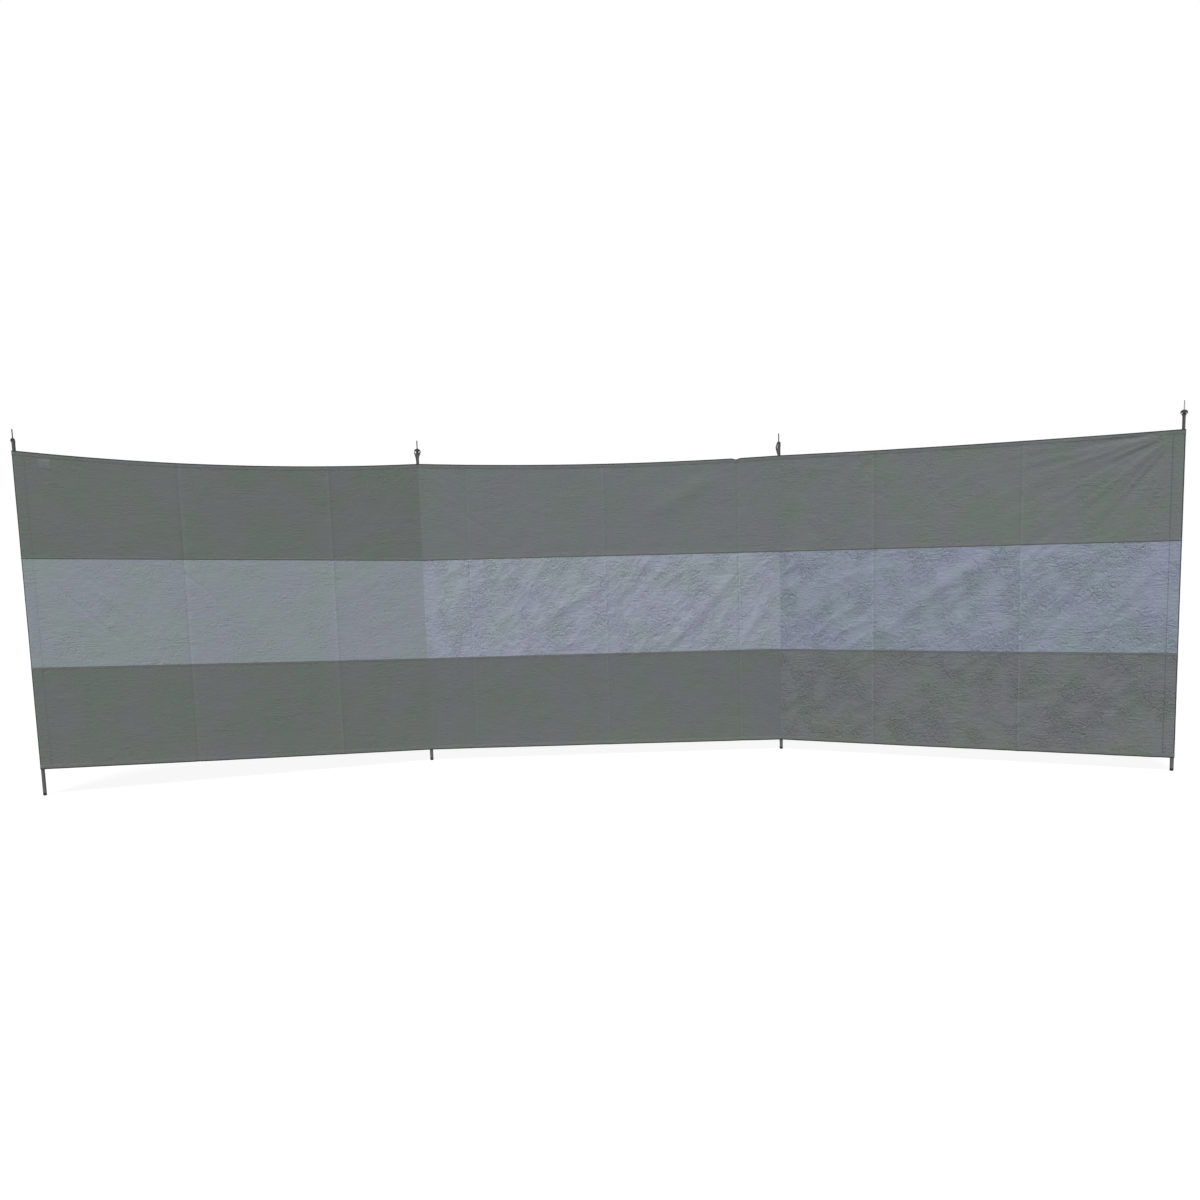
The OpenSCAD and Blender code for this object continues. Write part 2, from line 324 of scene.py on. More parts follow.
def cloth_material(name, colour, crinkle, rows=(), edge=(0.0, 0.0), rim=0.0, folds=(), sewn_at=None):
    """Coated polyester cloth.

    The UV map is in metres: u along the cloth or seam and v across it. Threads cross in a fine plain
    weave, small crinkles lie level, run up to the right or crumple in patches, and the tint wanders.
    rows are the places of stitches across a seam, edge is how far a line of painted shade reaches in from v =
    0 and how dark it is, rim is where the outer side of a sleeve starts, which gets painted shade, and folds
    are the places of pressed creases, where the coating has worn pale and a painted highlight lies along the
    crease. On a sleeve u runs upwards and v away from the stitches, whose place in the bay and side are given
    as sewn_at.
    """
    n = Nodes(name)
    place = n.place()
    height_z = n.parts(place)[2]
    flat = n.add("ShaderNodeTexCoord", output="UV")
    u, v, _ = n.parts(flat)
    if sewn_at:
        start, side = sewn_at
        flat = n.add("ShaderNodeCombineXYZ", None, {0: start - v * side, 1: u})

    drift = n.noise(place, 5.0, detail=3)
    cloud = n.noise(n.stretched(place, (9, 9, 16)), 1.0, detail=4, roughness=0.6)
    slub = n.noise(n.stretched(place, (16, 16, 260)), 1.0, detail=3)
    tone = n.mix(drift.step(0.38, 0.62), shade(colour, 1.0, (0.96, 1.02, 0.95)),
                 shade(colour, 1.0, (1.035, 0.985, 1.06)))
    tone = n.mix(cloud.step(0.25, 0.75) * 0.5, tone, shade(colour, 1.08))
    tone = n.mix(slub.step(0.58, 0.75) * 0.22, tone, shade(colour, 0.8))
    dust = height_z.step(0.32, 0.03) * n.noise(place, 11.0, detail=4).step(0.35, 0.7)
    tone = n.mix(dust * 0.16, tone, (0.20, 0.185, 0.15))

    weave = (u * (math.tau / THREAD)).sine() * (v * (math.tau / THREAD)).sine()
    level = n.noise(n.stretched(place, (24, 24, 105)), 1.0, detail=4, roughness=0.55)
    height = level * ((0.7 + 0.8 * crinkle) * 1.5 * MM) + weave * (0.015 * MM)
    busy = n.noise(place, 8.5, detail=2).step(0.36, 0.64) * 0.95 + 0.35
    crumple = (abs(n.noise(flat, 34.0, detail=2, distortion=1.0) - 0.5) - 0.09) * (8.0 * MM)
    crumple = crumple + (abs(n.noise(flat, 62.0, detail=2, distortion=0.8) - 0.5) - 0.09) * (6.0 * MM)
    height = height - crumple * busy * crinkle
    slanting = crinkle * min(1.0, crinkle)
    for turn, scale, share in SLANTS:
        slant = n.stretched(n.stretched(flat, (1, 1, 1), (0, 0, math.radians(turn))), scale)
        crest = abs(n.noise(slant, 1.0, detail=3, distortion=0.7) - 0.5) - 0.09
        height = height - crest * busy * (slanting * share * 4.6 * MM)
    line = abs(n.noise(n.stretched(flat, (5, 42, 1)), 1.0, detail=2) - 0.5).step(0.045, 0.0)
    height = height + line * n.noise(place, 7.0).step(0.45, 0.65) * ((0.5 + crinkle) * 0.6 * MM)
    roughness = 0.62 + cloud * 0.12

    # Pale line along each crease: worn coating, and partly a painted highlight on the crease's lit side.
    for fold in folds:
        worn = abs(u - fold).step(3.2 * MM, 0.8 * MM) * n.noise(place, 24.0).step(0.30, 0.55)
        tone = n.mix(worn * (0.15 + 0.35 * min(1.0, crinkle)), tone, shade(colour, 1.45))
    # Painted shade: a dark line along an edge, from v = 0.
    if edge[0]:
        tone = n.mix(v.step(edge[0], edge[0] * 0.7) * edge[1], tone, shade(colour, 0.25))
    # Painted shade on the outer side of an end sleeve, which turns from the light.
    if rim:
        tone = n.mix(v.step(rim, rim + 2.5 * MM) * 0.85, tone, shade(colour, 0.25))
    for row in rows:
        off = abs(v - row)
        dash = (u / STITCH).fraction()
        thread = off.step(0.5 * MM, 0.3 * MM) * dash.step(0.04, 0.12) * dash.step(0.78, 0.70)
        tone = n.mix(thread * 0.5, tone, shade(colour, 1.3))
        height = height + thread * (0.25 * MM) - off.step(3 * MM, 0.0) * (0.3 * MM)
    return n.finish(tone, roughness, height, Specular_IOR_Level=0.12)


def tube_material(name, colour):
    """Grey coated steel tube: fine drawn lines along it, scuffs, and sand stuck near the ground."""
    n = Nodes(name)
    place = n.place()
    z = n.parts(place)[2]
    lines = n.noise(n.stretched(place, (900, 900, 12)), 1.0, detail=3)
    scuff = n.noise(place, 55.0, detail=6, roughness=0.7).step(0.60, 0.72)
    sand = n.noise(place, 400.0, detail=2).step(0.55, 0.62) * z.step(0.07, 0.0)
    tone = n.mix(lines * 0.35, colour, shade(colour, 1.35))
    tone = n.mix(scuff * 0.35, tone, shade(colour, 0.55))
    tone = n.mix(sand * 0.6, tone, (0.42, 0.36, 0.27))
    height = lines * (0.02 * MM) + scuff * (-0.03 * MM) + sand * (0.2 * MM)
    return n.finish(tone, 0.55 + scuff * 0.2, height, Specular_IOR_Level=0.15)


def plastic_material(name, colour):
    """Black moulded plastic with a fine grain and rubbed high spots."""
    n = Nodes(name)
    place = n.place()
    grain = n.noise(place, 1400.0, detail=2)
    rub = n.noise(place, 130.0, detail=5, roughness=0.65).step(0.55, 0.7)
    tone = n.mix(rub * 0.5, colour, shade(colour, 2.2))
    return n.finish(tone, 0.5 + rub * 0.15, grain * (0.04 * MM), Specular_IOR_Level=0.25)


def webbing_material(name, colour):
    """Black webbing: slanted ribs across the tape, painted lighter on their crests and darker in their
    grooves as highlight and shade, fine wales along it and a little fuzz. v runs across the tape."""
    n = Nodes(name)
    u, v, _ = n.parts(n.add("ShaderNodeTexCoord", output="UV"))
    rib = ((u + abs(v) * 0.6) * (math.tau / (1.5 * MM))).sine()
    wale = (v * (math.tau / (1.1 * MM))).sine()
    height = rib * (0.08 * MM) + wale * (0.05 * MM)
    fuzz = n.noise(n.place(), 900.0, detail=3)
    # Painted highlight on the ribs' crests and painted shade in their grooves, with fuzz of the fibres.
    tone = n.mix(rib.step(-0.6, 0.8) * 0.6 + fuzz * 0.2, shade(colour, 0.6), shade(colour, 1.6))
    return n.finish(tone, 0.8, height, Specular_IOR_Level=0.1)


def steel_material(name, colour, shine):
    """Steel rod, brushed round its axis, with a few dull spots. shine is how metallic it is."""
    n = Nodes(name)
    place = n.place()
    rings = n.noise(n.stretched(place, (60, 60, 3500)), 1.0, detail=2)
    dull = n.noise(place, 260.0, detail=4).step(0.5, 0.68)
    tone = n.mix(dull * 0.5, colour, shade(colour, 0.6))
    return n.finish(tone, 0.25 + rings * 0.15 + dull * 0.2, rings * (0.01 * MM), Metallic=shine,
                    Specular_IOR_Level=0.15 + 0.35 * shine)


MATERIALS = {}


def material(make, name, *args, **options):
    """The material of that name, made the first time that it is asked for."""
    if name not in MATERIALS:
        MATERIALS[name] = make(name, *args, **options)
    return MATERIALS[name]


# How crinkled each stripe is, and its tint, for the lower, the middle and the upper one. The tint is painted
# light and shade: it makes the same cloth lighter or darker, greener or bluer, from bay to bay and stripe to
# stripe, as the light falls on them
STRIPE_CRINKLE_AND_PAINTED_LIGHT = {
    "left": ((0.30, (0.98, 1.00, 0.96)), (0.42, (1.02, 1.04, 0.97)), (0.24, (0.98, 1.00, 0.96))),
    "middle": ((0.34, (0.94, 0.95, 0.95)), (1.25, (1.17, 1.17, 1.19)), (0.30, (1.06, 1.06, 1.09))),
    "right": ((1.35, (1.12, 1.11, 1.13)), (1.40, (1.03, 1.06, 1.12)), (0.42, (1.07, 1.09, 1.08))),
}


def stripe_cloth(bay, stripe, side=0):
    """Cloth of a stripe. That of a sleeve has two rows of stitches beside its edge, on that side."""
    s = bpy.context.scene.windbreak_cloth
    crinkle, tint = STRIPE_CRINKLE_AND_PAINTED_LIGHT[bay.name][("lower", "middle", "upper").index(stripe)]
    # The tint paints in the light and shade of this bay and stripe.
    colour = shade(s.light if stripe == "middle" else s.dark, 1.0, tint)
    if not side:
        name = f"{bay.name}_{stripe}_stripe_finish"
        return material(cloth_material, name, colour, crinkle, folds=bay.creases(s.fold_pitch))
    name = f"{bay.name}_{stripe}_sleeve_finish_{'left' if side > 0 else 'right'}"
    if bay is MIDDLE:
        edge, rim = (0.0, 0.0), 0.0
    else:
        # An end sleeve gets a line of painted shade beside its stitches, and painted shade on its outer side.
        edge, rim = (SEAM_SHADE_LINE, 0.14 if bay is LEFT else 0.36), PAINTED_SHADE_SIDE
    return material(cloth_material, name, colour, crinkle, rows=SLEEVE_ROWS, edge=edge, rim=rim,
                    sewn_at=(bay.stitches(side), side))


def hem_cloth():
    """Dark cloth with the hem's stitches, and a line of painted shade along its fold, at the cloth's top and
    bottom edge.
    """
    s = bpy.context.scene.windbreak_cloth
    row = HEM_H - 3.5 * MM
    # The edge line is painted shade along the hem's fold.
    return material(cloth_material, "hem_cloth", s.dark, 0.3, rows=(row,), edge=(6 * MM, 0.9))


def seam_cloth(low=False):
    """Dark cloth with the two rows of a felled seam, and a thin line of painted shade on the side of the
    light stripe, which is fainter on the low seam."""
    s = bpy.context.scene.windbreak_cloth
    rows = (SEAM_H / 2 - 3.5 * MM, SEAM_H / 2 + 3.5 * MM)
    name, darkness = ("low_seam_cloth", 0.24) if low else ("seam_cloth", 0.42)
    return material(cloth_material, name, s.dark, 0.3, rows=rows, edge=(SEAM_SHADE_LINE, darkness))


def patch_cloth():
    """Cloth of the blank patch, a little paler than the bay."""
    s = bpy.context.scene.windbreak_cloth
    return material(cloth_material, "patch_cloth", shade(s.dark, 1.14), 0.3)


# ---------------------------------------------------------------- surfaces


def smooth(x, low, high):
    """0 below low, 1 above high, with level ends between them: 3t^2 - 2t^3."""
    t = np.clip((x - low) / (high - low), 0, 1)
    return t * t * (3 - 2 * t)


def gradient_noise(x, y, seed):
    """Smooth noise of about -1 to 1, one unit to a hump: random slopes at whole numbers, blended by
    6t^5 - 15t^4 + 10t^3."""
    turn = np.random.default_rng(seed).uniform(0, math.tau, (128, 128))
    left, low = np.floor(x).astype(int), np.floor(y).astype(int)
    fx, fy = x - left, y - low

    def corner(i, j):
        angle = turn[(left + i) % 128, (low + j) % 128]
        return np.cos(angle) * (fx - i) + np.sin(angle) * (fy - j)

    sx, sy = (f * f * f * (f * (f * 6 - 15) + 10) for f in (fx, fy))
    bottom = corner(0, 0) * (1 - sx) + corner(1, 0) * sx
    top = corner(0, 1) * (1 - sx) + corner(1, 1) * sx
    return (bottom * (1 - sy) + top * sy) * 1.5


def wrinkles(x, v, slant, length, width, seed):
    """Crests that run at an angle to level: noise drawn out along them, bent by slower noise, and
    folded where it crosses zero, so that it comes to a crest of nearly 1 between valleys of 0."""
    bend = 0.5 * gradient_noise(x / length * 1.3, v / length * 1.3, seed + 1)
    along = (x * math.cos(slant) + v * math.sin(slant)) / length
    beside = (v * math.cos(slant) - x * math.sin(slant)) / width
    n = gradient_noise(along + bend, beside + bend, seed)
    return 1 - np.minimum(1, 2.2 * np.sqrt(n * n + 0.004))


def fan(x, v, corner, reach, spread, seed):
    """Tension wrinkles that spread from a corner: noise of the angle seen from the corner, fading in
    over the first 12 cm and dying away as e to the power of minus the distance over the reach."""
    dx, dv = x - corner[0], v - corner[1]
    distance = np.sqrt(dx * dx + dv * dv)
    angle = np.arctan2(np.abs(dv), np.abs(dx))
    rays = gradient_noise(angle / spread, distance / (0.9 * reach), seed)
    return rays * np.exp(-distance / reach) * smooth(distance, 0.01, 0.12)


def off_line(x, v, line):
    """Distance from every point to a line of straight stretches, and the share of the way along it."""
    best = np.full(x.shape, np.inf)
    share = np.zeros(x.shape)
    ends = [np.array(p, float) for p in line]
    lengths = [np.linalg.norm(b - a) for a, b in zip(ends, ends[1:])]
    for k, (a, b) in enumerate(zip(ends, ends[1:])):
        d = (b - a) / lengths[k]
        t = np.clip((x - a[0]) * d[0] + (v - a[1]) * d[1], 0, lengths[k])
        distance = np.hypot(x - a[0] - t * d[0], v - a[1] - t * d[1])
        nearer = distance < best
        best = np.where(nearer, distance, best)
        share = np.where(nearer, (sum(lengths[:k]) + t) / sum(lengths), share)
    return best, share


def ridge(x, v, line, height, width):
    """A fold along a line: a bell across it, e to the power of minus the distance squared, times a
    power of a half sine along it, so that it is highest halfway and nearly gone at both ends."""
    distance, share = off_line(x, v, line)
    return height * np.exp(-(distance / width) ** 2) * np.sin(math.pi * np.clip(share, 0.02, 0.98)) ** 0.7


def tent(x, middle, height, half):
    """A pressed fold that was opened again: slopes that meet in a crease, as the power of 1.3 of
    1 - the distance over the half width."""
    return height * np.clip(1 - np.abs(x - middle) / half, 0, 1) ** 1.3


# How the slanted wrinkles lean, and the finer ones: height in millimetres, slant, length and width in
# metres, and which draw of noise they take
STEEP = math.radians(54)
SHALLOW = math.radians(33)
CRESTS = ((1.6, STEEP + 0.12, 0.13, 0.040, 20), (1.2, SHALLOW, 0.16, 0.045, 30), (0.9, 0.05, 0.10, 0.024, 40))
# The angle between two rays of a fan, half the width of the notch in a top edge, how far creases keep
# clear of the poles, and how far from its stitches the cloth comes to full relief
RAY = math.radians(4.2)
DENT_HALF = 13 * MM
CREASE_CLEAR = 80 * MM
CALM_L = 50 * MM


class Bay:
    """One bay of cloth: the upright plane between two poles, and how far the cloth stands off it.

    x runs from the left pole to the right one, v from the cloth's bottom edge to its top edge, and
    out is the distance in front of the plane. sag is how far the top edge hangs halfway, and billow how
    far the cloth bellies out there. unrest is the strength of the slanted wrinkles on the light stripe,
    and dark_unrest what share of it the lower and the upper stripe have. run is the length of cloth
    to the left of the bay. dent is a notch in the top edge: its place and its depth.
    """

    def __init__(self, name, left, right, sag, billow, unrest, dark_unrest, ridges, fans, run, dent=(0, 0)):
        self.name, self.left, self.right = name, left, right
        self.body = body_with(name + "_middle_stripe")
        step = right.axis - left.axis
        self.width = float(np.hypot(*step))
        self.along = step / self.width
        self.front = np.array([self.along[1], -self.along[0]])
        self.sag, self.billow = sag, billow
        self.unrest, self.dark_unrest, self.dent = unrest, dark_unrest, dent
        self.ridges, self.fans, self.run = ridges, fans, run
        self.start, self.end = 0.0, self.width

    def place(self, x, v, out):
        """Points in the frame, as an array with three numbers at the end: the plane's point at x, moved
        forward by out, at the height of the bottom edge plus v. Above the high seam the cloth sags more
        and more, by a parabola between the poles, and the top edge dips by a bell at its notch."""
        u = x / self.width
        between = np.clip(u, 0, 1)
        bottom = self.left.cloth_bottom * (1 - u) + self.right.cloth_bottom * u
        share = np.clip((v - HIGH_SEAM) / (CLOTH_H - HEM_H - HIGH_SEAM), 0, 1)
        middle, depth = self.dent
        dent = depth * np.exp(-((x - middle) / DENT_HALF) ** 2) * smooth(share, 0.9, 1.0)
        z = bottom + v - 4 * self.sag * between * (1 - between) * share - dent
        px = self.left.axis[0] + self.along[0] * x + self.front[0] * out
        py = self.left.axis[1] + self.along[1] * x + self.front[1] * out
        return np.stack([px, py, z], axis=-1)

    def stitches(self, side):
        """Where the cloth is stitched into the sleeve at its left end, side 1, or its right end, -1."""
        return self.start if side > 0 else self.end

    def creases(self, pitch):
        """Where the creases of the folded cloth cross this bay. They run on from bay to bay."""
        first = math.ceil((self.run - pitch) / pitch)
        spots = [pitch * k + pitch - self.run for k in range(first, first + 5)]
        return [x for x in spots if CREASE_CLEAR < x < self.width - CREASE_CLEAR]

    def relief(self, x, v):
        """How far the cloth stands in front of its plane, away from its stitches: a billow, half a sine
        from pole to pole, plus waves along both edges, crests of wrinkles, slow and quick swells, pressed
        creases that turn forward and back, and the folds and fans placed one by one."""
        settings = bpy.context.scene.windbreak_cloth
        seed = settings.seed * 100 + int(self.run * 10)
        u, t = x / self.width, v / CLOTH_H
        light = smooth(v, LOW_SEAM - 0.03, LOW_SEAM + 0.05) * smooth(v, HIGH_SEAM + 0.03, HIGH_SEAM - 0.05)
        dark_unrest = np.where(t < 0.5, *self.dark_unrest)
        restless = self.unrest * (dark_unrest + (1 - dark_unrest) * light)

        out = FRONT + self.billow * np.sin(math.pi * u) * (0.55 + 0.45 * np.sin(math.pi * t))
        edge = np.exp(-(1 - t) / 0.07) + 0.7 * np.exp(-t / 0.07)
        out = out + 2.2 * MM * edge * gradient_noise(x / 0.23, v / 0.6, seed + 2) * np.sin(math.pi * u)

        patch = 0.55 + 0.45 * gradient_noise(x / 0.45, v / 0.30, seed + 5)
        out = out + 7.0 * MM * restless * patch * wrinkles(x, v, STEEP - 0.1, 0.38, 0.095, seed + 10)
        for height, slant, length_of, width_of, draw in CRESTS:
            out = out + height * MM * restless * wrinkles(x, v, slant, length_of, width_of, seed + draw)
        out = out + 2.0 * MM * gradient_noise(x / 0.5, v / 0.42, seed + 50)
        out = out + 0.5 * MM * gradient_noise(x / 0.11, v / 0.05, seed + 60)

        for k, middle in enumerate(self.creases(settings.fold_pitch)):
            wander = middle + 1.5 * MM * gradient_noise(v / 0.3, 0 * v + k + 0.5, seed + 70)
            forward = 1 if k % 2 else -1
            out = out + tent(x, wander, forward * 2.4 * MM, 0.075)
            out = out + tent(x, wander, forward * (1.8 + 2.6 * restless) * MM, 0.012)
        for line, height, width in self.ridges:
            out = out + ridge(x, v, line, height * MM, width * MM)
        for corner, height, reach in self.fans:
            place = (corner[0] * self.width, corner[1] * CLOTH_H)
            out = out + fan(x, v, place, reach, RAY, seed + 80) * height * MM
        return out

    def stand_off(self, x, v):
        """The whole stand-off: the relief dies out at the stitches, where the cloth is level with the
        front of the sleeves."""
        calm = smooth(x, self.start, self.start + CALM_L) * smooth(x, self.end, self.end - CALM_L)
        return FRONT + (self.relief(x, v) - FRONT) * calm


def grid_object(name, points, uv, finish, ring=False, thickness=0.0):
    """A mesh from a grid of points: four neighbours make a face. ring joins the last row to the first,
    turns the faces outwards, and shuts both ends with the first and the last column. A thickness is
    added half to each side. The edges round a sheet or at the ends of a ring are sharp."""
    rows, columns = points.shape[:2]
    index = np.arange(rows * columns).reshape(rows, columns)
    if ring:
        index = np.vstack([index, index[:1]])
    quads = np.stack([index[:-1, :-1], index[:-1, 1:], index[1:, 1:], index[1:, :-1]], axis=-1).reshape(-1, 4)
    flat = points.reshape(-1, 3)
    if ring and inside_out(flat, quads):
        quads = quads[:, ::-1]
    mesh = bpy.data.meshes.new(name)
    mesh.vertices.add(rows * columns)
    mesh.vertices.foreach_set("co", flat.astype(np.float32).reshape(-1))
    mesh.loops.add(quads.size)
    mesh.loops.foreach_set("vertex_index", quads.astype(np.int32).reshape(-1))
    mesh.polygons.add(len(quads))
    mesh.polygons.foreach_set("loop_start", np.arange(0, quads.size, 4, dtype=np.int32))
    mesh.update(calc_edges=True)
    layer = mesh.uv_layers.new(name="UVMap")
    layer.data.foreach_set("uv", uv.reshape(-1, 2)[quads.reshape(-1)].astype(np.float32).reshape(-1))
    mesh.shade_smooth()
    if ring or thickness:
        mesh.edges.foreach_set("use_edge_sharp", rim_edges(mesh, rows, columns, ring))
    mesh.materials.append(finish)
    piece = bpy.data.objects.new(name, mesh)
    bpy.context.scene.collection.objects.link(piece)
    if thickness:
        thicken(piece, thickness)
    return piece


def thicken(piece, thickness):
    """Gives a surface a thickness, half to each side."""
    solid = piece.modifiers.new("thickness", "SOLIDIFY")
    solid.thickness = thickness
    solid.offset = 0


def rim_edges(mesh, rows, columns, ring):
    """Which edges of a grid run along its rim, or, on a ring, round the ends of its straight part."""
    ends = np.empty(2 * len(mesh.edges), np.int32)
    mesh.edges.foreach_get("vertices", ends)
    row, column = np.divmod(ends.reshape(-1, 2), columns)
    if ring:
        return (column == 1).all(axis=1) | (column == columns - 2).all(axis=1)
    lines = ((row, 0), (row, rows - 1), (column, 0), (column, columns - 1))
    return np.any([(place == line).all(axis=1) for place, line in lines], axis=0)


def inside_out(points, quads):
    """Is a closed shape's volume negative, summed over pyramids from its middle?"""
    a, b, c, d = (points[quads[:, k]] - points.mean(axis=0) for k in range(4))
    return float((np.cross(a, b) * c).sum() + (np.cross(a, c) * d).sum()) < 0


def join(name, pieces):
    """One piece made of several that share a finish."""
    bpy.ops.object.select_all(action="DESELECT")
    for piece in pieces:
        piece.select_set(True)
    bpy.context.view_layer.objects.active = pieces[0]
    bpy.ops.object.join()
    pieces[0].name = pieces[0].data.name = name
    return pieces[0]


def walked_along(path):
    """The distance from a path's first point to each of its points, along the path."""
    steps = np.linalg.norm(np.diff(path, axis=0), axis=1)
    return np.concatenate([[0], np.cumsum(steps)])


def even(low, high, step):
    """Even spacing from low to high, of about that step."""
    return np.linspace(low, high, max(2, round((high - low) / step) + 1))


def band_profile(height, thickness, steps=5):
    """The outline of a flat band, as height across it and distance in front of its middle: two
    straight sides closed by half circles."""
    r = thickness / 2
    turn = np.linspace(-math.pi / 2, math.pi / 2, steps)
    side = np.linspace(r, height - r, 4)[1:-1]
    v = np.concatenate([side, height - r + r * np.cos(turn), side[::-1], r - r * np.cos(turn)])
    out = np.concatenate([0 * side - r, r * np.sin(turn), 0 * side + r, -r * np.sin(turn)])
    return v, out


SEAM_H = 11 * MM
SEAM_T = 1.5 * MM
HEM_T = 1.9 * MM
# How far a stripe stops short of the cloth's own edge, inside its hem
INSET = 2.5 * MM
# How far a sleeve laps past its stitches behind the cloth, and how far it stands off its pole
LAP = 7 * MM
SLEEVE_CLEAR = 1.0 * MM
# Where the cloth stands beside the poles: level with the front of the sleeves
FRONT = POLE[0].tube_r + SLEEVE_CLEAR + 0.3 * MM
# The blank patch: its two sides, its lower edge and height, its thickness, and how far it stands proud
PATCH_X = (92 * MM, 138 * MM)
PATCH_V = (1332 * MM, 44 * MM)
PATCH_T = 0.6 * MM
PATCH_PROUD = 0.5 * MM

# Folds that were pressed or pulled into the cloth: places in metres from the left pole and from the
# bottom edge, then the height and the half width of the fold in millimetres
LEFT_RIDGES = (
    (((0.06, 0.87), (0.44, 0.50)), -2.2, 7),
    (((0.58, 1.00), (0.63, 0.89), (0.74, 0.80), (0.82, 0.70)), -2.0, 7),
    (((1.22, 1.01), (1.29, 0.93)), -2.0, 7),
    (((0.20, 0.86), (0.55, 0.56)), 1.6, 16),
)
MIDDLE_RIDGES = (
    (((0.09, 1.30), (0.19, 1.22), (0.23, 1.14), (0.34, 1.07), (0.41, 1.01)), -1.6, 7),
    (((0.52, 0.58), (0.68, 0.69), (0.87, 0.81)), 7.0, 30),
    (((1.15, 0.47), (1.33, 0.62), (1.49, 0.79), (1.54, 0.90)), 8.0, 30),
    (((0.90, 0.58), (1.10, 0.85), (1.15, 0.93)), -6.0, 32),
    (((1.54, 0.48), (1.66, 0.66), (1.73, 0.80)), 5.5, 24),
    (((0.15, 0.68), (0.23, 0.92)), 3.5, 20),
    (((1.07, 1.12), (1.47, 1.33)), 4.0, 45),
    (((0.36, 0.50), (0.50, 0.66), (0.58, 0.80)), -3.5, 24),
)
RIGHT_RIDGES = (
    (((0.40, 0.47), (0.66, 0.66), (0.80, 0.78), (1.08, 0.93)), 9.0, 34),
    (((0.77, 0.56), (0.98, 0.78), (1.12, 0.93)), -7.0, 32),
    (((1.00, 0.47), (1.22, 0.74), (1.36, 0.93)), 9.0, 32),
    (((1.18, 0.47), (1.42, 0.80), (1.50, 0.93)), -8.0, 28),
    (((1.36, 0.48), (1.56, 0.70), (1.70, 0.88)), 8.0, 26),
    (((0.03, 0.82), (0.14, 0.94)), 3.0, 16),
    (((0.22, 0.75), (0.43, 0.85)), 3.5, 18),
    (((0.10, 0.58), (0.34, 0.62)), 2.0, 10),
    (((1.67, 1.37), (1.20, 1.26)), 2.8, 11),
    (((1.67, 1.36), (1.24, 1.15)), -3.0, 11),
    (((1.68, 1.35), (1.34, 1.07)), 3.2, 12),
    (((1.69, 1.33), (1.47, 1.02)), -2.8, 11),
    (((1.70, 1.32), (1.59, 1.00)), 2.4, 10),
    (((0.44, 0.30), (0.45, 0.18), (0.50, 0.09)), 1.8, 10),
    (((1.10, 0.18), (1.18, 0.28), (1.38, 0.31)), 2.2, 10),
)
# Corners that pull: share of the width and of the height, then strength in millimetres and reach in
# metres
LEFT_FANS = (((0, 1), 1.2, 0.30), ((1, 1), 1.0, 0.25), ((0, 0), 0.8, 0.20))
MIDDLE_FANS = (((0, 1), 1.4, 0.25), ((1, 1), 1.8, 0.30), ((1, 0), 1.0, 0.25))
RIGHT_FANS = (((1, 1), 6.5, 0.42), ((0, 1), 1.4, 0.25), ((1, 0), 2.0, 0.25))


def reach_of(node, origin, direction):
    """How far a node reaches from a point in a level direction."""
    return float(((vertices_of(node)[:, :2] - origin) @ direction).max())


def make_bays():
    """The three bays, and where the stitches of their sleeves are."""
    width = float(np.hypot(*(POLE[1].axis - POLE[0].axis)))
    left = Bay("left", POLE[0], POLE[1], 34 * MM, 9 * MM, 0.16, (0.4, 0.4), LEFT_RIDGES, LEFT_FANS, 0.0)
    middle = Bay("middle", POLE[1], POLE[2], 20 * MM, -8 * MM, 1.0, (0.12, 0.12), MIDDLE_RIDGES, MIDDLE_FANS,
                 width, dent=(1.54, 6 * MM))
    right = Bay("right", POLE[2], POLE[3], 7 * MM, 10 * MM, 0.9, (0.70, 0.38), RIGHT_RIDGES, RIGHT_FANS,
                2 * width)
    for bay, side, pole, sign in ((left, "start", 0, 1), (middle, "start", 1, 1),
                                  (middle, "end", 2, -1), (right, "end", 3, -1)):
        reach = reach_of(POLES[pole] + "_sleeve", POLE[pole].axis, bay.along * sign)
        setattr(bay, side, reach if sign > 0 else bay.width - reach)
    # The fronts of two bays meet ahead of the pole, half the turn between them round it
    half_turns = [math.acos(float(bay.along @ middle.along)) / 2 for bay in (left, right)]
    left.end = left.width - FRONT * math.tan(half_turns[0])
    right.start = FRONT * math.tan(half_turns[1])
    return left, middle, right


LEFT, MIDDLE, RIGHT = make_bays()
BAYS = (LEFT, MIDDLE, RIGHT)
# Each sleeve: its pole, the bay that carries it, the pole's place in the bay, and the side of its seam
SLEEVES = ((POLE[0], LEFT, 0.0, 1), (POLE[1], MIDDLE, 0.0, 1),
           (POLE[2], MIDDLE, MIDDLE.width, -1), (POLE[3], RIGHT, RIGHT.width, -1))
STRIPES = (("lower", 0.0, LOW_SEAM), ("middle", LOW_SEAM, HIGH_SEAM), ("upper", HIGH_SEAM, CLOTH_H))


# ---------------------------------------------------------------- cloth of the bays


def columns_of(bay, step):
    """Places of a bay's columns: even ones, with more beside each crease."""
    settings = bpy.context.scene.windbreak_cloth
    extra = [middle + side * MM for middle in bay.creases(settings.fold_pitch) for side in (-2.5, 0, 2.5)]
    x = np.sort(np.concatenate([even(bay.start, bay.end, step), extra]))
    return x[np.concatenate([[True], np.diff(x) > 0.8 * MM])]


def stripe_rows(low, high, step):
    """Heights of a stripe's rows. At the cloth's own top and bottom they stop inside the hem."""
    bottom = low + (INSET if low == 0 else 0)
    top = high - (INSET if high == CLOTH_H else 0)
    return even(bottom, top, step)


